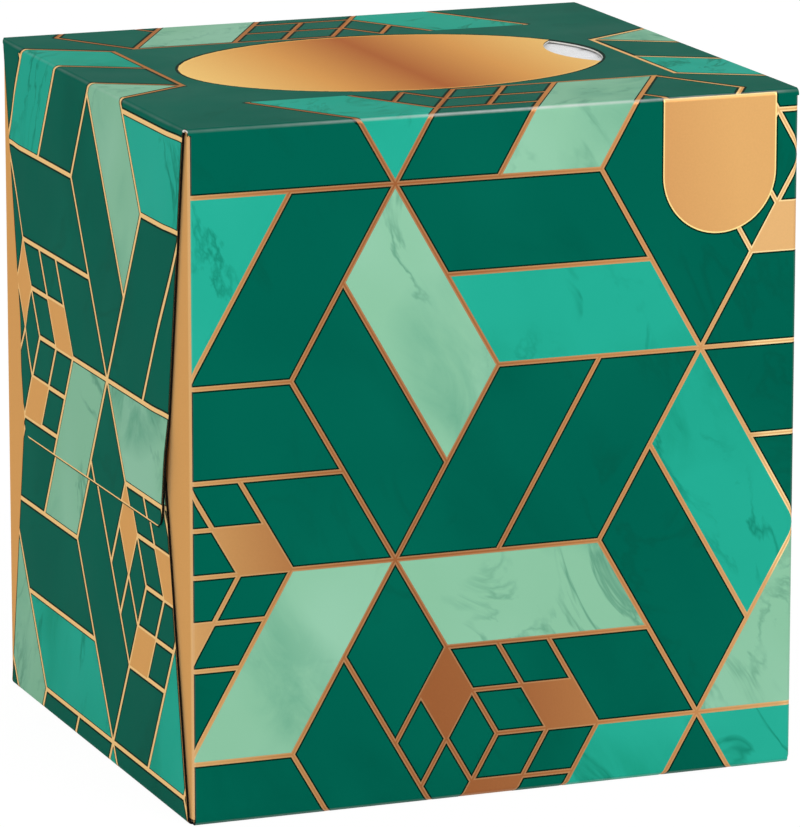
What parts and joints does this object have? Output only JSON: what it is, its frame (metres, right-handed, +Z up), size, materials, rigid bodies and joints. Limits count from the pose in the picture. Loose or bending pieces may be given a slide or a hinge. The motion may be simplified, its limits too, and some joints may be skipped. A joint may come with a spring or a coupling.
{
  "type": "tissue box",
  "caption": "Upright tissue box: a folded and glued printed carton with a perforated oval and a finger hole in its top, a dispensing film and folded tissues inside",
  "frame": {"origin": "centre of the carton's underside, on the surface that it stands on", "axes": "+X along the width, from the left end to the right end, with the finger hole on its side; +Y along the depth, from the front panel with the tag to the back; +Z up along the height"},
  "size_m": [0.1182, 0.1056, 0.1256],
  "materials": {
    "copper_card": "printed card, satin copper ink",
    "clear_film": "thin clear film",
    "tissue": "soft white tissue paper",
    "dark_green_ink": "varnished dark green ink",
    "teal_ink": "varnished teal ink, marbled",
    "mint_ink": "varnished mint ink, marbled"
  },
  "bodies": {
    "root": {"carton": "copper_card", "dispensing_film": "clear_film", "tissue_clip": "tissue", "print_dark_green": "dark_green_ink", "print_teal": "teal_ink", "print_mint": "mint_ink"}
  },
  "joints": []
}
